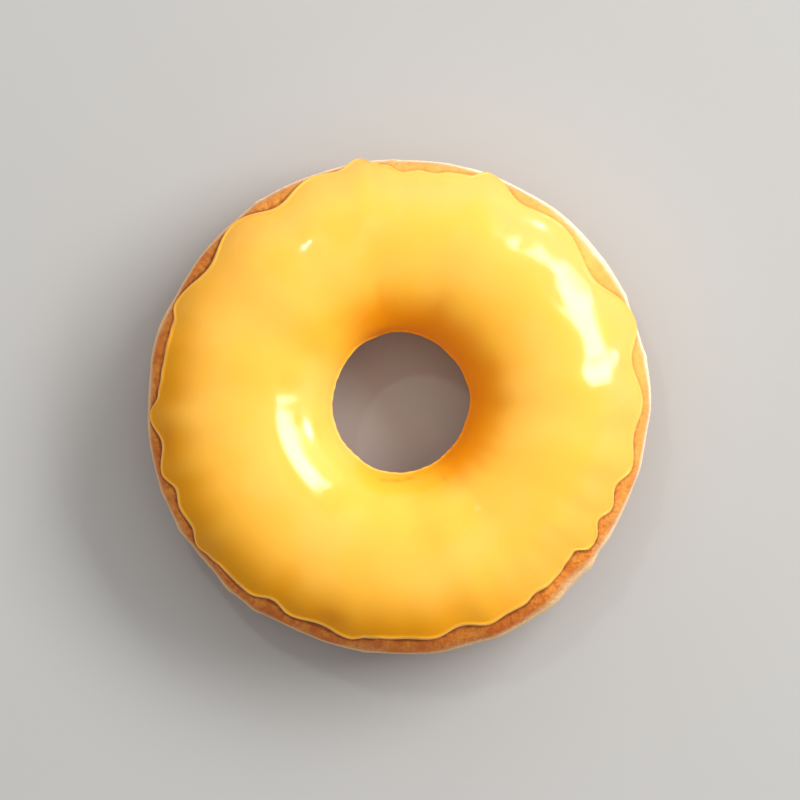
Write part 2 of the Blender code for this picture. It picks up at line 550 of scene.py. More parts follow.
@dataclass(frozen=True)
class RingForm:
    """The rule that the dough and its icing follow, with the sizes of the solids."""

    outer_radius: float = 0.04755
    hole_radius: float = 0.0132
    hole_offset: tuple[float, float] = (0.0002, 0.00066)
    widest_height: float = 0.0138
    crest_rise: float = 0.0157
    base_drop: float = 0.0150
    roundness: float = 2.15
    solid_faces_round: int = 80
    outline: Profile = (
        Wave(2, 0.00035, 172),
        Wave(3, 0.00022, 48),
        Wave(7, 0.00016, 25),
        Wave(11, 0.00013, 6),
        Wave(16, 0.00012, 209),
        Swelling(50, 12, 0.00040),
        Swelling(74, 6, -0.00038),
        Swelling(138, 9, -0.00055),
        Swelling(177, 8, -0.00038),
        Swelling(196, 7, 0.00020),
        Swelling(210, 20, 0.00042),
        Swelling(255, 9, 0.00020),
        Swelling(293, 3.5, 0.00030),
        Swelling(308, 4.5, 0.00060),
        Swelling(334, 11, -0.00072),
        Swelling(359, 5, 0.00042),
    )
    hole: Profile = (Wave(2, 0.00019, 75), Wave(3, 0.00010, 112), Wave(4, 0.00012, 8), Wave(6, 0.00006, 11))
    crest: Profile = (Wave(1, 0.00040, 250), Wave(3, 0.00022, 20), Wave(5, 0.00018, 130))

    def seat(self) -> tuple[float, float]:
        """Where the ring's own axis stands in the frame, from the solid's box.

        Returns:
            X and Y of the axis.
        """
        azimuth = np.arange(self.solid_faces_round) * TAU / self.solid_faces_round
        radius = self.outer_radius + profile_at(self.outline, azimuth)
        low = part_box(Node.DOUGH.value)[0]
        left, near = (radius * np.cos(azimuth)).min(), (radius * np.sin(azimuth)).min()
        return float(low.x - left), float(low.y - near)

    def ring_at(self, tree: ShapeTree, azimuth: Field) -> tuple[Field, Field, Field]:
        """The ring's section at each azimuth.

        Args:
            tree: Where the nodes go.
            azimuth: The azimuth.

        Returns:
            Middle radius, half width and crest rise.
        """
        outer = profile_at(self.outline, azimuth) + tree.size("Outer Radius", self.outer_radius)
        inner = profile_at(self.hole, azimuth) + tree.size("Hole Radius", self.hole_radius)
        inner = inner + azimuth.cos() * self.hole_offset[0] + azimuth.sin() * self.hole_offset[1]
        rise = profile_at(self.crest, azimuth) + tree.size("Crest Rise", self.crest_rise)
        return (outer + inner) * 0.5, (outer - inner) * 0.5, rise

    def surface(self, tree: ShapeTree, ring: tuple, azimuth: Field, angle: Field, lift: Feed) -> Field:
        """Points of the dough's skin, or of a layer above it.

        Args:
            tree: Where the nodes go.
            ring: What ring_at gave.
            azimuth: The azimuth.
            angle: The section's angle.
            lift: How far above the skin a point lies.

        Returns:
            The points in the frame.
        """
        middle, half_width, rise = ring
        across = angle.cos().signed_power(2 / self.roundness)
        up = angle.sin().signed_power(2 / self.roundness)
        upper = up > 0.0
        height = upper * rise + (1.0 - upper) * tree.size("Base Drop", self.base_drop)
        normal_across = across.signed_power(self.roundness - 1) / half_width
        normal_up = up.signed_power(self.roundness - 1) / height
        steepness = tree.math("SQRT", normal_across**2.0 + normal_up**2.0)
        radius = middle + across * half_width + normal_across / steepness * lift
        level = up * height + normal_up / steepness * lift + tree.size("Widest Height", self.widest_height)
        seat_x, seat_y = self.seat()
        x = radius * azimuth.cos() + tree.size("Seat X", seat_x)
        y = radius * azimuth.sin() + tree.size("Seat Y", seat_y)
        return tree.vector(x, y, tree.math("MAXIMUM", level, 0.0))


@dataclass(frozen=True)
class IcingEdge:
    """Where the icing ends: drip by drip outside, and nearly straight in the hole."""

    roundness: float
    gap: float = 0.0003  # between the solids, which the icing fills here
    lip_thickness: float = 0.0008
    drip_sharpness: float = 2.0
    broad_drip: float = 16.0  # degrees between two drips, from where their bay is a full hollow
    wall_inset: float = -0.00018
    wall: Profile = (Wave(9, 0.00004, 9), Wave(12, 0.00004, 3))
    drips: tuple[Drip, ...] = (
        Drip(20.0, 0.15, 4.25),
        Drip(48.0, 1.95, 2.70),
        Drip(69.0, 0.05, 1.60),
        Drip(77.5, 2.00, 2.60),
        Drip(85.5, 2.25, 2.70),
        Drip(93.5, 1.30, 0.70),
        Drip(99.0, -0.55, 0.85),
        Drip(110.5, 0.60, 3.10),
        Drip(132.5, 0.60, 2.85),
        Drip(155.5, 0.95, 2.35),
        Drip(164.0, 2.75, 2.80),
        Drip(173.0, 2.55, 2.05),
        Drip(182.0, 0.65, 2.65),
        Drip(196.0, 1.40, 2.95),
        Drip(205.0, 2.25, 2.50),
        Drip(215.0, 1.10, 1.60),
        Drip(222.0, 2.10, 2.15),
        Drip(231.0, 2.30, 3.65),
        Drip(242.5, 2.45, 3.15),
        Drip(258.0, 2.30, 3.00),
        Drip(266.0, 3.35, 3.60),
        Drip(278.5, 3.30, 4.35),
        Drip(292.5, 3.35, 3.65),
        Drip(302.0, 3.55, 4.40),
        Drip(310.5, 3.85, 3.80),
        Drip(317.0, 4.35, 4.65),
        Drip(323.3, 2.60, 2.40),
        Drip(326.0, 2.60, 3.90),
        Drip(334.0, 2.60, 3.75),
        Drip(345.0, 2.00, 2.70),
        Drip(361.0, 2.00, 3.10),
    )

    def stand_off(self) -> float:
        """How far the lip stands out from the dough."""
        return self.gap + self.lip_thickness

    def angle_at(self, tree: ShapeTree, half_width: Field, inset: Field) -> Field:
        """Section angle at which the lip lies inside the dough's outline, seen from above.

        Args:
            tree: Where the nodes go.
            half_width: Half the ring's width there.
            inset: How far inside the outline.

        Returns:
            The angle.
        """
        across = (half_width - inset) / (half_width + self.stand_off())
        return tree.math("ARCCOSINE", across ** (self.roundness / 2))

    def outside(self, tree: ShapeTree, azimuth: Field, half_width: Field) -> tuple[Field, Field, Field]:
        """The outer edge, drip to drip.

        Args:
            tree: Where the nodes go.
            azimuth: The azimuth.
            half_width: Half the ring's width there.

        Returns:
            The edge's section angle, how far it climbs from a drip's tip (0) to a bay (1), and
            how hollow the bay is there, 0 to 1, which it is less between narrow drips.
        """
        degrees = azimuth * (180 / math.pi)
        tip_inset, bay_inset, climb, hollow = (azimuth * 0.0 for _ in range(4))
        first = self.drips[0]
        following = (*self.drips[1:], Drip(first.azimuth + 360, first.tip, first.bay))
        for drip, after in zip(self.drips, following):
            share = (degrees - drip.azimuth) % 360.0 / (after.azimuth - drip.azimuth)
            inside = share < 1.0
            past_middle = share > 0.5
            tip_inset = tip_inset + inside * (past_middle * ((after.tip - drip.tip) * MM) + drip.tip * MM)
            bay_inset = bay_inset + inside * (drip.bay * MM)
            rise = inside * (share.within() * math.pi).sin() ** self.drip_sharpness
            climb = climb + rise
            hollow = hollow + rise * min(1.0, (after.azimuth - drip.azimuth) / self.broad_drip) ** 2
        low = self.angle_at(tree, half_width, tip_inset)
        high = self.angle_at(tree, half_width, bay_inset)
        return low + (high - low) * climb, climb, hollow

    def in_hole(self, tree: ShapeTree, azimuth: Field, half_width: Field) -> Field:
        """Section angle of the edge in the hole.

        Args:
            tree: Where the nodes go.
            azimuth: The azimuth.
            half_width: Half the ring's width there.

        Returns:
            The angle.
        """
        return math.pi - self.angle_at(tree, half_width, profile_at(self.wall, azimuth) + self.wall_inset)


@dataclass(frozen=True)
class SharedNoise(ABC):
    """A shader node group of soft noise from 0 to 1, made once and placed in each material."""

    name: str
    inputs: tuple[str, ...] = ("Size", "Detail", "Low", "High")

    @abstractmethod
    def place(self, bench: Bench) -> Feed:
        """Where the noise is read."""

    def tree(self) -> bpy.types.NodeTree:
        """The group, made the first time it is asked for.

        Returns:
            A tree with a lump's size, layers of finer noise, and the noise that becomes 0 and
            1 going in, and Value coming out.
        """
        made = bpy.data.node_groups.get(self.name)
        if made:
            return made
        made = bpy.data.node_groups.new(self.name, "ShaderNodeTree")
        for name in self.inputs:
            made.interface.new_socket(name, in_out="INPUT", socket_type="NodeSocketFloat")
        made.interface.new_socket("Value", in_out="OUTPUT", socket_type="NodeSocketFloat")
        bench = Bench(made)
        entry = bench.node("NodeGroupInput")
        size, detail, low, high = (entry.outputs[name] for name in self.inputs)
        scale = bench.math("DIVIDE", 1.0, size)
        inputs = {"Vector": self.place(bench), "Scale": scale, "Detail": detail}
        noise = bench.field("ShaderNodeTexNoise", inputs, output="Fac")
        bench.node("NodeGroupOutput", {"Value": bench.ramp(noise, low, high)})
        return made

    def place_in(self, bench: Bench, values: tuple[float, ...]) -> Field:
        """Places the group in a material.

        Args:
            bench: The material's nodes.
            values: What goes into each input, in their order.

        Returns:
            The group's value.
        """
        node = bench.tree.nodes.new("ShaderNodeGroup")
        node.node_tree = self.tree()
        for name, value in zip(self.inputs, values):
            node.inputs[name].default_value = value
        return Field(bench, node.outputs["Value"])


@dataclass(frozen=True)
class ObjectMottle(SharedNoise):
    """Noise on the object's own coordinates."""

    name: str = "mottle"

    def place(self, bench: Bench) -> Feed:
        """The object's own coordinates."""
        return bench.node("ShaderNodeTexCoord").outputs["Object"]


@dataclass(frozen=True)
class CrustStreaks(SharedNoise):
    """Noise drawn out from the ring's outside to its hole."""

    name: str = "streaks"
    stretch: float = 1.7

    def place(self, bench: Bench) -> Feed:
        """The way round the ring, and more slowly the way from its outside to its hole.

        Args:
            bench: The group's nodes.

        Returns:
            The place.
        """
        x, y, z = bench.parts(bench.node("ShaderNodeTexCoord").outputs["Object"])
        radius = bench.far(x, y)
        widest = RingForm.outer_radius
        round_place = bench.vector(x / radius * widest, y / radius * widest, 0.0)
        along = bench.vector(0.0, 0.0, (z + radius) / self.stretch)
        return bench.field("ShaderNodeVectorMath", {0: round_place, 1: along}, operation="ADD")


def empty_material(name: str) -> tuple[bpy.types.Material, Bench, bpy.types.Node]:
    """A material with nothing but its shader.

    Args:
        name: The material's name.

    Returns:
        The material, its nodes and its shader.
    """
    material = bpy.data.materials.new(name)
    material.use_nodes = True
    return material, Bench(material.node_tree), material.node_tree.nodes["Principled BSDF"]


def set_evenly(shader: bpy.types.Node, values: dict[str, object]) -> None:
    """Sets a shader's own inputs to values that are the same all over the surface."""
    for name, value in values.items():
        shader.inputs[name].default_value = value


@dataclass(frozen=True)
class CrustFinish:
    """Fried crust: golden on the side towards the light and browner on the other, where the brown is
    painted shade, with a browner fried underside and a pale band at the widest line.
    """

    cream: Colour = srgb(255, 233, 204)
    biscuit: Colour = srgb(255, 200, 132)
    golden: Colour = srgb(240, 178, 86)
    # amber: painted shade on the side away from the light, and the colour of the fried underside
    amber: Colour = srgb(255, 158, 54)
    brown: Colour = srgb(206, 92, 8)
    # painted shadow under the icing's lip
    lip_shadow_colour: Colour = srgb(112, 40, 0)
    soft_mottle: tuple[float, ...] = (0.006, 3.0, 0.38, 0.68)  # size, detail, low and high
    fine_mottle: tuple[float, ...] = (0.0008, 2.0, 0.36, 0.64)
    streaks: tuple[float, ...] = (0.0010, 2.0, 0.38, 0.66)
    soft_brown: Span = (0.4, 0.12)  # share of brown: added with the fry and painted shade mask, and everywhere
    streak_brown: Span = (0.55, 0.12)
    fine_brown: Span = (0.3, 0.1)
    band_fry: float = 0.7  # of the biscuit colour in the band, which follows the fry and painted shade mask, and the fine mottle gives the rest
    pit_shade_step: Span = (0.5, 0.1)  # of the relief, where painted shade in its pits and creases starts and is full
    pit_shade: float = 0.4
    # painted shadow under the lip: its share on the painted shade side, and everywhere
    lip_shadow_share: Span = (0.5, 0.35)
    grain_size: float = 0.0007
    grain_detail: float = 3.0
    grain_roughness: float = 0.6
    grain_height: float = 0.00022
    roughness: Span = (0.50, 0.75)
    specular: float = 0.2
    glow: float = 0.15  # light that passes under the surface, and how far
    glow_radius: Colour = (1.0, 0.5, 0.2)
    glow_scale: float = 0.001

    def material(self) -> bpy.types.Material:
        """The material, with its colours from the masks that the crust's points carry.

        Returns:
            The material.
        """
        material, bench, shader = empty_material("fried crust")
        mottle = ObjectMottle()
        pale, fry, contact, height = bench.masks("pale", "fry", "contact", "relief")
        soft = mottle.place_in(bench, self.soft_mottle)
        fine = mottle.place_in(bench, self.fine_mottle)
        streak = CrustStreaks().place_in(bench, self.streaks)
        # painted shade: amber on the side away from the light, and on the fried underside
        crust = bench.blend(fry, self.golden, self.amber)
        browner = ((soft, self.soft_brown), (streak, self.streak_brown), (1.0 - fine, self.fine_brown))
        for pattern, (fried, everywhere) in browner:
            crust = bench.blend(pattern * (fry * fried + everywhere), crust, self.brown)
        # the band turns biscuit on the side with painted shade
        band = bench.blend(fry * self.band_fry + fine * (1.0 - self.band_fry), self.cream, self.biscuit)
        colour = bench.blend(pale, crust, band)
        # painted shade in the pits and creases of the relief
        colour = bench.blend(bench.ramp(height, *self.pit_shade_step) * self.pit_shade, colour, self.brown)
        # painted shadow under the icing's lip, strongest on the side away from the light
        fried, everywhere = self.lip_shadow_share
        colour = bench.blend(contact * (fry * fried + everywhere), colour, self.lip_shadow_colour)
        bench.plug(shader.inputs["Base Color"], colour)
        low, high = self.roughness
        bench.plug(shader.inputs["Roughness"], fine * (high - low) + low)
        place = bench.node("ShaderNodeTexCoord").outputs["Object"]
        grain = bench.noise(place, self.grain_size, self.grain_detail, self.grain_roughness)
        bump = {"Height": grain, "Distance": self.grain_height, "Strength": 1.0}
        bench.plug(shader.inputs["Normal"], bench.field("ShaderNodeBump", bump))
        set_evenly(shader, {
            "Subsurface Weight": self.glow,
            "Subsurface Radius": self.glow_radius,
            "Subsurface Scale": self.glow_scale,
            "Specular IOR Level": self.specular,
        })
        return material


@dataclass(frozen=True)
class IcingFinish:
    """Set lemon icing: deep yellow with a wet gloss, and the crust showing through where it is thin. Its
    colour holds painted light and sheen on its lit sides, painted shade on its shaded sides and in the
    hole, and painted rim light along the lip.
    """

    lemon: Colour = srgb(251, 182, 38)
    # a lighter lemon: random cloud, and painted light on the lit side of the hole
    light: Colour = srgb(255, 198, 96)
    # painted light: a paler lemon on the outer side towards the light, also painted sheen where the coat is
    # dulled
    thick: Colour = srgb(252, 181, 90)
    # painted shade in the hole, on its side away from the light
    deep: Colour = srgb(232, 141, 0)
    # painted shade on the outer side away from the light
    dusk: Colour = srgb(234, 156, 8)
    # the lip's own paler colour, with painted rim light, strongest on the shaded side
    lip: Colour = srgb(255, 192, 104)
    thin: Colour = srgb(200, 112, 26)
    roughness: float = 0.42
    lip_roughness: float = 0.9
    coat_roughness: float = 0.17
    coat_ior: float = 1.6
    edge_gloss: float = 0.18  # of the coat at the edges, where the icing is thin and dries first
    shade_dulling: float = 0.5  # of the coat where the shade in the hole and on the outer side is painted
    cloud: tuple[float, ...] = (0.012, 2.0, 0.35, 0.65)  # size, detail, low and high
    cloud_light: float = 0.2
    # share of the light colour painted as light on the lit side of the hole
    lit_light: float = 0.75
    # share of the painted sheen colour where the coat is dulled
    dull_painted_sheen: float = 0.35
    specular: float = 0.12
    glow: float = 0.35  # light that passes under the surface, and how far
    glow_radius: Colour = (1.0, 0.55, 0.12)
    glow_scale: float = 0.0012

    def material(self) -> bpy.types.Material:
        """The material, with its thin places and its painted light and shade from the masks that the
        icing's points carry.

        Returns:
            The material.
        """
        material, bench, shader = empty_material("lemon icing")
        lip, thick, lit, thin = bench.masks("lip", "thick", "lit", "thin")
        deep, dusk, edge, dull = bench.masks("deep", "dusk", "edge", "dull")
        cloud = ObjectMottle().place_in(bench, self.cloud)
        # random cloud, and painted light on the lit side of the hole
        colour = bench.blend(cloud * self.cloud_light + lit * self.lit_light, self.lemon, self.light)
        # painted light on the outer side towards the light, and painted sheen where the coat is dulled
        colour = bench.blend((thick + dull * self.dull_painted_sheen).within(), colour, self.thick)
        # painted shade in the hole and on the outer shaded side, the crust's colour in thin places, and the
        # lip's colour with painted rim light
        layers = ((deep, self.deep), (dusk, self.dusk), (thin, self.thin), (lip, self.lip))
        for mask, layer in layers:
            colour = bench.blend(mask, colour, layer)
        bench.plug(shader.inputs["Base Color"], colour)
        bench.plug(shader.inputs["Roughness"], lip * (self.lip_roughness - self.roughness) + self.roughness)
        gloss = (1.0 - edge * (1.0 - self.edge_gloss)) * (1.0 - (deep + dusk) * self.shade_dulling)
        bench.plug(shader.inputs["Coat Weight"], gloss * (1.0 - dull) * (1.0 - lip))
        set_evenly(shader, {
            "Specular IOR Level": self.specular,
            "Coat Roughness": self.coat_roughness,
            "Coat IOR": self.coat_ior,
            "Subsurface Weight": self.glow,
            "Subsurface Radius": self.glow_radius,
            "Subsurface Scale": self.glow_scale,
        })
        return material


@dataclass(frozen=True)
class DoughCrust:
    """The dough ring with its fried skin: lumps, wrinkles, blisters and pores."""

    form: RingForm
    edge: IcingEdge
    finish: CrustFinish
    faces_round: int = 640
    faces_across: int = 148
    thin_out: float = 0.42  # how much sparser the faces are under the icing
    hidden_angle: float = math.radians(95)  # the middle of what the icing covers
    # the side away from the light, which gets painted shade: a browner, deeper crust
    painted_shade_side: Wave = Wave(1, 0.5, 222)
    painted_shade_step: Span = (0.05, 0.60)
    band_low: float = 0.0085
    band_high: float = 0.0178
    band_edge: float = 0.0018
    band_tilt: Profile = (Swelling(38, 12, 0.0020), Swelling(312, 22, 0.0022), Wave(7, 0.0003, 10))
    torn: Profile = (
        Swelling(11.5, 1.2, 0.00020),
        Swelling(26, 1.4, 0.00022),
        Swelling(91.5, 0.9, 0.00035),
        Swelling(125, 1.2, 0.00028),
        Swelling(160, 4, 0.00016),
        Swelling(200, 2.4, 0.00022),
        Swelling(209.5, 2.2, 0.00028),
        Swelling(226.5, 2.8, 0.00045),
        Swelling(234.5, 2.0, 0.00032),
        Swelling(262, 2.2, 0.00022),
        Swelling(272, 4, -0.00022),
        Swelling(320, 2.2, 0.00032),
        Swelling(324, 2.2, -0.00040),
        Swelling(340, 4, -0.00022),
    )
    torn_reach: float = 0.0055  # above and below the widest line
    hole_calm: float = 0.92  # of the relief that the wall of the hole does without
    hole_step: Span = (0.0, -0.6)  # of the angle's cosine, from the crest to that wall
    shadow_step: Span = (0.55 * MM, 0.12 * MM)  # past the lip, where its shadow ends and is full
    lip_step: Span = (0.35, 0.20)  # of the angle below the lip, for the same
    outer_step: Span = (1.9, 1.6)  # of the angle, so that the underside has no shadow
    relief_read: Span = (-0.30 * MM, 0.10 * MM)  # the relief that the material reads as 0 and 1
    band_wander: Ripple = Ripple(0.006, 1.4 * MM, 3.0, 0.55)
    fry_wander: Ripple = Ripple(0.012, 0.25, 2.0)
    painted_shade_share: float = 0.95  # how strongly the side away from the light gets painted shade, and how far the underside is fried
    under_fry: float = 0.5
    lumps: Ripple = Ripple(0.009, 0.14 * MM, 1.0)
    wrinkles: Ripple = Ripple(0.0026, 0.10 * MM, 2.0, 0.6)
    blisters: Dots = Dots(0.0030, (0.42, 0.05), 0.10 * MM)
    pores: Dots = Dots(0.0021, (0.22, 0.02), 0.16 * MM)
    crease_depth: float = 0.7 * MM  # four times that of the crease where the band ends

    def build(self) -> bpy.types.Object:
        """Makes the piece and gives it its place in the frame.

        Returns:
            The dough crust.
        """
        tree = ShapeTree("dough crust")
        mesh, turn, walk = tree.sheet(self.faces_round, self.faces_across)
        azimuth = turn * TAU
        even = walk * TAU
        angle = even + (even - self.hidden_angle).sin() * self.thin_out
        ring = self.form.ring_at(tree, azimuth)
        edge_angle = self.edge.outside(tree, azimuth, ring[1])[0]
        bend = 2 / self.form.roundness
        lip_reach = edge_angle.cos().signed_power(bend) * (ring[1] + self.edge.stand_off())
        past_lip = angle.cos().signed_power(bend) * ring[1] - lip_reach
        near_lip = tree.ramp(edge_angle - angle, *self.lip_step) * tree.ramp(angle, *self.outer_step)
        in_hole = tree.ramp(angle.cos(), *self.hole_step)
        fields = {
            "Band Tilt": profile_at(self.band_tilt, azimuth),
            "Brown Side": tree.ramp(self.painted_shade_side.at(azimuth) + 0.5, *self.painted_shade_step),
            # the lip's painted shadow on the crust
            "Contact": tree.ramp(past_lip, *self.shadow_step) * near_lip,
            "Torn": profile_at(self.torn, azimuth) * (1.0 - in_hole),
            "Calm": 1.0 - in_hole * self.hole_calm,
        }
        mesh, kept = tree.keep(mesh, fields)
        mesh = tree.roll_up(mesh, self.form.surface(tree, ring, azimuth, angle, 0.0))
        mesh, masks = self.masks(tree, mesh, kept["Band Tilt"], kept["Brown Side"])
        relief = self.relief(tree, masks["Pale"]) * kept["Calm"]
        mesh, raised = tree.keep(mesh, {"Relief": relief, "Ragged": self.ragged(tree, kept["Torn"])})
        mesh = tree.raise_by(mesh, raised["Relief"] + raised["Ragged"])
        mesh = tree.store(mesh, "pale", masks["Pale"])
        mesh = tree.store(mesh, "fry", masks["Fry"])
        mesh = tree.store(mesh, "contact", kept["Contact"])
        mesh = tree.store(mesh, "relief", tree.ramp(raised["Relief"], *self.relief_read))
        piece = tree.piece("dough_crust", mesh, self.finish.material())
        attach(piece, "root")
        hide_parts(Node.DOUGH.value)
        return piece

    def masks(self, tree: ShapeTree, mesh: bpy.types.NodeSocket, tilt: Field, brown: Field) -> tuple:
        """Where the crust is pale, and how far it is fried or browned by painted shade on the side away
        from the light.

        Args:
            tree: Where the nodes go.
            mesh: The ring without relief.
            tilt: How far the pale band reaches higher.
            brown: How near the side with painted shade is, 0 to 1.

        Returns:
            The mesh, and the masks of the pale band and of frying with painted shade.
        """
        place = tree.place()
        level = tree.parts(place)[2] + self.band_wander.at(tree, place)
        high = tilt + self.band_high
        above = tree.ramp(level, self.band_low - self.band_edge, self.band_low + self.band_edge)
        below = tree.ramp(level, high + self.band_edge, high - self.band_edge)
        underneath = tree.ramp(level, self.band_low, 0.0)
        # painted shade on the side away from the light, frying on the underside, and random tone
        fry = brown * self.painted_shade_share + underneath * self.under_fry + self.fry_wander.at(tree, place)
        return tree.keep(mesh, {"Pale": above * below, "Fry": fry.within()})

    def ragged(self, tree: ShapeTree, torn: Field) -> Field:
        """The ragged swellings of the widest line, by their height right on it."""
        level = tree.parts(tree.place())[2]
        return ((level - self.form.widest_height) / self.torn_reach).hump() * torn

    def relief(self, tree: ShapeTree, pale: Field) -> Field:
        """How far the skin stands out or in.

        Args:
            tree: Where the nodes go.
            pale: The mask of the pale band, which is smoother.

        Returns:
            The height at each point.
        """
        place = tree.place()
        lumps, wrinkles = self.lumps.at(tree, place), self.wrinkles.at(tree, place)
        blister, pore = self.blisters.at(tree, place), self.pores.at(tree, place)
        crease = (pale * (1.0 - pale)) * self.crease_depth
        return lumps + wrinkles + blister * (1.0 - pale) - pore - crease


@dataclass(frozen=True)
class IcingCoat:
    """The icing over the upper half, down to its drips outside and its lip in the hole."""

    form: RingForm
    edge: IcingEdge
    finish: IcingFinish
    sunk: float = 0.00035  # of its underside in the dough
    crest_thickness: float = 0.0012
    faces_round: int = 600
    faces_across: int = 160
    skin_share: float = 0.78  # of the faces across
    lip_share: float = 0.06
    crowding: float = 0.6  # of the skin's faces towards its two edges
    bead_height: float = 0.00019
    bead_place: float = 0.015  # in lengths of the run from edge to edge
    bead_width: float = 0.009
    bead_at_tip: float = 1.4  # of its height at a drip's tip, and how much less in a bay
    bead_less_in_bay: float = 0.8
    bay_depth: float = 0.00018  # of the hollows that run down to the bays between drips
    bay_step: Span = (0.40, 0.03)  # of the run
    swell_waves: Profile = (Wave(9, 0.00010, 12), Wave(14, 0.00008, 35))
    swells: Ripple = Ripple(0.016, 0.12 * MM, 1.0, 0.4)
    ripples: Ripple = Ripple(0.0055, 0.035 * MM, 1.0)
    sag: float = 0.05 * MM  # of the whole skin, against what the swells add
    skin_step: Span = (0.3, 1.0)  # of the level, from the underside to where relief is full
    shade_side: Wave = Wave(1, 0.5, 225)
    lit_side: Wave = Wave(1, 0.5, 190)  # of the hole: its side towards the light, for painted light
    dark_side: Wave = Wave(1, 0.5, 30)  # of the hole: its side away from the light, for painted shade
    thick_step: Span = (0.34, 0.10)  # of the run, as are the next ones that name no side; painted light on the outer side towards the light
    thick_power: float = 1.5
    lit_step: Span = (0.60, 0.82)
    lit_side_step: Span = (0.77, 0.97)
    # painted shade in the hole on its side away from the light, its share, and how much it dulls the coat
    deep_step: Span = (0.60, 0.84)
    dark_side_step: Span = (0.33, 0.66)
    deep_share: float = 0.9
    deep_dulling: float = 0.6
    # painted shade on the outer side away from the light
    dusk_step: Span = (0.32, 0.06)
    dusk_side_step: Span = (0.53, 0.85)
    edge_step: Span = (0.20, 0.04)  # from either edge
    # the lip's paler line: partly its own colour, partly painted rim light, strongest on the shaded side
    lip_start: float = 0.017  # of the run, in from an edge
    lip_start_shade: float = 0.008  # more on the shaded side, and more again in the hole there
    lip_start_hole: float = 0.010
    hole_lip_step: Span = (0.5, 0.9)
    lip_full: float = 0.008
    lip_full_shade: float = 0.006
    lip_share_lit: float = 0.2  # how strongly the lip shows away from the shaded side
    # thin places where the crust shows through; the first one darkens the top of the hole's edge
    thin_spots: tuple[Spot, ...] = (
        Spot(102, 13.9, 0.9, 3.6, 0.80),
        Spot(188, 44.4, 1.8, 3.0, 0.30),
        Spot(252.5, 41.6, 1.8, 3.2, 0.38),
        Spot(258, 14.3, 0.3, 1.0, 0.34),
        Spot(268, 14.1, 0.3, 1.2, 0.38),
        Spot(278, 13.8, 0.3, 0.9, 0.46),
        Spot(302, 15.6, 1.6, 0.4, 0.25),
    )
    lumps: tuple[Spot, ...] = (
        Spot(9.5, 37.6, 2.8, 1.8, -0.16),
        Spot(12.2, 38.0, 3.2, 2.8, -0.22),
        Spot(12.8, 43.0, 1.3, 2.2, 0.40),
        Spot(31.5, 38.9, 3.4, 4.2, -0.36),
        Spot(34, 43.1, 1.6, 4.0, 0.30),
        Spot(40, 43.0, 2.2, 2.4, 0.22),
        Spot(46, 38.3, 2.2, 3.0, 0.07),
        Spot(53.5, 38.2, 2.2, 1.8, -0.10),
        Spot(118.2, 35.6, 1.7, 1.5, 0.10),
        Spot(171, 21.2, 2.4, 2.2, -0.20),
        Spot(172, 19.6, 1.6, 1.8, -0.10),
        Spot(190, 20.0, 2.4, 4.5, -0.15),
        Spot(195, 16.8, 0.9, 2.8, 0.34),
    )
    dull_spots: tuple[Spot, ...] = (
        Spot(3.2, 39.3, 3.6, 1.9, 2.5),
        Spot(35.2, 35.8, 1.1, 3.4, 1.3),
        Spot(41.5, 37.2, 1.2, 2.4, 1.3),
        Spot(46, 38.0, 2.6, 2.8, 0.35),
        Spot(61.5, 42.6, 2.0, 3.6, 1.9),
        Spot(107, 35.2, 2.5, 3.6, 1.6),
        Spot(129.5, 35.0, 2.5, 4.2, 1.6),
        Spot(187, 19.3, 0.9, 1.8, 1.3),
        Spot(209, 24.0, 0.9, 8.0, 1.8),
        Spot(227, 21.6, 1.6, 1.6, 0.55),
        Spot(237, 16.9, 1.2, 2.0, 1.6),
        Spot(234.5, 21.2, 2.6, 1.8, 2.0),
        Spot(292, 24.7, 2.5, 9.0, 1.6),
        Spot(350, 36.8, 2.0, 3.0, 1.2),
    )

    def build(self) -> bpy.types.Object:
        """Makes the piece and gives it its place in the frame.

        Returns:
            The icing coat.
        """
        tree = ShapeTree("icing coat")
        mesh, turn, walk = tree.sheet(self.faces_round, self.faces_across)
        azimuth = turn * TAU
        ring = self.form.ring_at(tree, azimuth)
        run, level, bulge = self.outline(walk)
        start, climb, hollow = self.edge.outside(tree, azimuth, ring[1])
        end = self.edge.in_hole(tree, azimuth, ring[1])
        body = (run * math.pi).sin()
        lip = tree.size("Lip Thickness", self.edge.lip_thickness)
        crest = tree.size("Crest Thickness", self.crest_thickness)
        thickness = lip + (crest - lip + profile_at(self.swell_waves, azimuth)) * body
        sunk = tree.size("Sunk", self.sunk)
        lift = level * (thickness + sunk + self.edge.gap) - sunk
        angle = start + (end - start) * run + bulge * lip * 0.5 / ring[1]
        near = tree.math("MINIMUM", run, 1.0 - run)
        bead = ((near - self.bead_place) / self.bead_width).hump()
        bead = bead * (self.bead_at_tip - climb * self.bead_less_in_bay) * self.bead_height
        fields = self.masks(tree, azimuth, run, near)
        fields["Top"] = tree.ramp(level, *self.skin_step)
        fields["Handmade"] = bead - hollow * tree.ramp(run, *self.bay_step) * self.bay_depth
        mesh, kept = tree.keep(mesh, fields)
        mesh = tree.roll_up(mesh, self.form.surface(tree, ring, azimuth, angle, lift))
        mesh = tree.raise_by(mesh, (self.relief(tree) + kept["Handmade"]) * kept["Top"])
        for name in ("Lip", "Thick", "Lit", "Edge", "Deep", "Dusk"):
            mesh = tree.store(mesh, name.lower(), kept[name])
        mesh = tree.store(mesh, "thin", self.spots(tree, self.thin_spots))
        mesh = tree.store(mesh, "dull", self.spots(tree, self.dull_spots).within())
        piece = tree.piece("icing_coat", mesh, self.finish.material())
        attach(piece, "root")
        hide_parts(Node.ICING.value)
        return piece

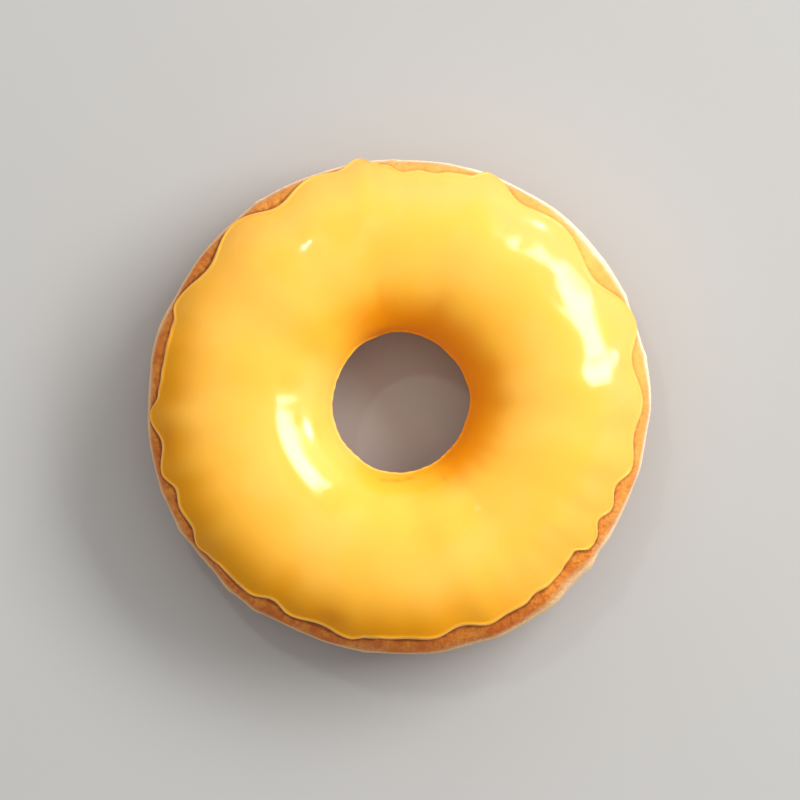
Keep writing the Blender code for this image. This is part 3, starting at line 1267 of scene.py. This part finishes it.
    def masks(self, tree: ShapeTree, azimuth: Field, run: Field, near: Field) -> dict[str, Field]:
        """Where the icing differs in colour or gloss, with its painted light and shade.

        Args:
            tree: Where the nodes go.
            azimuth: The azimuth.
            run: How far a point is from the outer edge (0) to the edge in the hole (1).
            near: How far it is from the nearer of them.

        Returns:
            The masks by name.
        """
        shade = self.shade_side.at(azimuth) + 0.5
        lit_side = tree.ramp(self.lit_side.at(azimuth) + 0.5, *self.lit_side_step)
        dark_side = tree.ramp(self.dark_side.at(azimuth) + 0.5, *self.dark_side_step)
        deep = tree.ramp(run, *self.deep_step) * dark_side
        hole_lip = tree.ramp(run, *self.hole_lip_step) * shade
        lip_start = hole_lip * self.lip_start_hole + shade * self.lip_start_shade + self.lip_start
        lip = tree.ramp(near, lip_start, shade * self.lip_full_shade + self.lip_full)
        return {
            "Lip": lip * (shade * (1.0 - self.lip_share_lit) + self.lip_share_lit),
            "Thick": tree.ramp(run, *self.thick_step) * (1.0 - shade) ** self.thick_power,
            "Lit": tree.ramp(run, *self.lit_step) * lit_side,
            "Edge": (tree.ramp(near, *self.edge_step) + deep * self.deep_dulling).within(),
            "Deep": deep * self.deep_share,
            "Dusk": tree.ramp(run, *self.dusk_step) * tree.ramp(shade, *self.dusk_side_step),
        }

    def outline(self, walk: Field) -> tuple[Field, Field, Field]:
        """The closed outline of the icing's section.

        Args:
            walk: How far round the section a point is, 0 to 1.

        Returns:
            Run from the outer edge (0) to the edge in the hole (1), level from the
            underside (0) to the skin (1), and how far a point bulges past an edge.
        """
        skin_end = self.skin_share
        lip_end = skin_end + self.lip_share
        under_end = 1 - self.lip_share
        inner = ((walk - skin_end) / self.lip_share).within() * math.pi
        outer = ((walk - under_end) / self.lip_share).within() * math.pi
        over = (walk / skin_end).within()
        over = over - (over * TAU).sin() * (self.crowding / TAU)
        back = ((walk - lip_end) / (under_end - lip_end)).within()
        level = (inner.cos() - outer.cos()) * 0.5 + 1.0
        return over - back, level, inner.sin() - outer.sin()

    def spots(self, tree: ShapeTree, places: tuple[Spot, ...]) -> Field:
        """The sum of soft places.

        Args:
            tree: Where the nodes go.
            places: The places.

        Returns:
            Their amounts together.
        """
        x, y, _ = tree.parts(tree.place())
        seat_x, seat_y = self.form.seat()
        x, y = x - seat_x, y - seat_y
        radius, azimuth = tree.far(x, y), tree.math("ARCTAN2", y, x)
        return sum((spot.at(azimuth, radius) for spot in places[1:]), places[0].at(azimuth, radius))

    def relief(self, tree: ShapeTree) -> Field:
        """The swells of icing that set as it ran, and its lumps and dents.

        Args:
            tree: Where the nodes go.

        Returns:
            The height at each point.
        """
        place = tree.place()
        swells = self.swells.at(tree, place) + self.ripples.at(tree, place)
        return swells + self.spots(tree, self.lumps) * MM - self.sag


@dataclass(frozen=True)
class SoftLight:
    """A flat soft light that faces the doughnut."""

    name: str
    azimuth: float  # degrees
    elevation: float  # degrees
    distance: float
    width: float
    height: float
    power: float
    colour: Colour = (1.0, 1.0, 1.0)

    def build(self) -> bpy.types.Object:
        """Makes the light.

        Returns:
            The light.
        """
        data = bpy.data.lights.new(self.name, "AREA")
        data.shape = "RECTANGLE"
        data.size = self.width
        data.size_y = self.height
        data.energy = self.power
        data.color = self.colour
        light = bpy.data.objects.new(self.name, data)
        turn, lean = math.radians(self.azimuth), math.radians(self.elevation)
        light.location = (
            self.distance * math.cos(lean) * math.cos(turn),
            self.distance * math.cos(lean) * math.sin(turn),
            self.distance * math.sin(lean),
        )
        light.rotation_euler = (math.pi / 2 - lean, 0.0, turn + math.pi / 2)
        light.visible_camera = False
        bpy.context.scene.collection.objects.link(light)
        return light


@dataclass(frozen=True)
class Studio:
    """The plain pale floor, the soft lights and the camera straight above."""

    form: RingForm
    floor_side: float = 4.0
    floor_colour: Colour = (0.42, 0.415, 0.405)
    floor_roughness: float = 0.9
    sky_colour: Colour = (1.0, 1.0, 1.0)
    sky_floor: float = 0.24  # strength away from the bright part of the sky
    sky_peak: float = 0.96  # added in the middle of the bright part
    sky_focus: float = 1.3  # how fast the bright part fades
    sky_azimuth: float = 64.0  # degrees
    sky_elevation: float = 54.0  # degrees
    camera_height: float = 0.9  # above the widest line
    frame_width: float = 0.1526  # at the widest line
    aim: tuple[float, float] = (0.0001, 0.00115)  # from the ring's axis
    sensor: float = 36.0  # millimetres
    sight: float = 20.0  # how far the camera sees
    lights: tuple[SoftLight, ...] = (
        SoftLight("window", 28.5, 44, 0.9, 0.62, 0.32, 7.6, (1.0, 0.985, 0.96)),
        SoftLight("low window", 58, 8, 0.9, 0.10, 0.11, 1.4, (1.0, 0.985, 0.96)),
        SoftLight("high lamp", 118.2, 65, 0.9, 0.04, 0.04, 0.6),
    )

    def build(self) -> None:
        """Makes the floor, the lights, the world and the camera."""
        self.floor()
        for light in self.lights:
            light.build()
        self.world()
        self.camera()

    def floor(self) -> None:
        """Lays the floor that the doughnut lies on."""
        half = self.floor_side / 2
        mesh = bpy.data.meshes.new("floor")
        corners = [(-half, -half, 0), (half, -half, 0), (half, half, 0), (-half, half, 0)]
        mesh.from_pydata(corners, [], [(0, 1, 2, 3)])
        floor = bpy.data.objects.new("floor", mesh)
        bpy.context.scene.collection.objects.link(floor)
        material, _, shader = empty_material("pale floor")
        set_evenly(shader, {"Base Color": rgba(self.floor_colour), "Roughness": self.floor_roughness})
        mesh.materials.append(material)

    def world(self) -> None:
        """Surrounds the scene with soft light that is brightest high up behind the window light."""
        world = bpy.data.worlds.new("studio")
        world.use_nodes = True
        bench = Bench(world.node_tree)
        background = world.node_tree.nodes["Background"]
        background.inputs["Color"].default_value = rgba(self.sky_colour)
        turn, lean = math.radians(self.sky_azimuth), math.radians(self.sky_elevation)
        brightest = (math.cos(lean) * math.cos(turn), math.cos(lean) * math.sin(turn), math.sin(lean))
        direction = bench.node("ShaderNodeTexCoord").outputs["Generated"]
        towards = {0: direction, 1: brightest}
        facing = bench.field("ShaderNodeVectorMath", towards, output="Value", operation="DOT_PRODUCT")
        strength = facing.within() ** self.sky_focus * self.sky_peak + self.sky_floor
        bench.plug(background.inputs["Strength"], strength)
        bpy.context.scene.world = world
        bpy.context.scene.view_settings.view_transform = "Standard"

    def camera(self) -> None:
        """Hangs the camera above the doughnut, looking straight down."""
        data = bpy.data.cameras.new("camera")
        data.sensor_width = self.sensor
        data.lens = self.sensor * self.camera_height / self.frame_width
        data.clip_end = self.sight
        camera = bpy.data.objects.new("camera", data)
        seat_x, seat_y = self.form.seat()
        height = self.form.widest_height + self.camera_height
        camera.location = (seat_x + self.aim[0], seat_y + self.aim[1], height)
        bpy.context.scene.collection.objects.link(camera)
        bpy.context.scene.camera = camera


def main() -> None:
    """Builds the studio and the doughnut's pieces."""
    logging.basicConfig(level=logging.INFO, format="%(message)s")
    form = RingForm()
    Studio(form).build()
    edge = IcingEdge(form.roundness)
    for maker in (DoughCrust(form, edge, CrustFinish()), IcingCoat(form, edge, IcingFinish())):
        piece = maker.build()
        log.info("%s: %d faces", piece.name, len(piece.data.polygons))


if __name__ == "__main__":
    main()
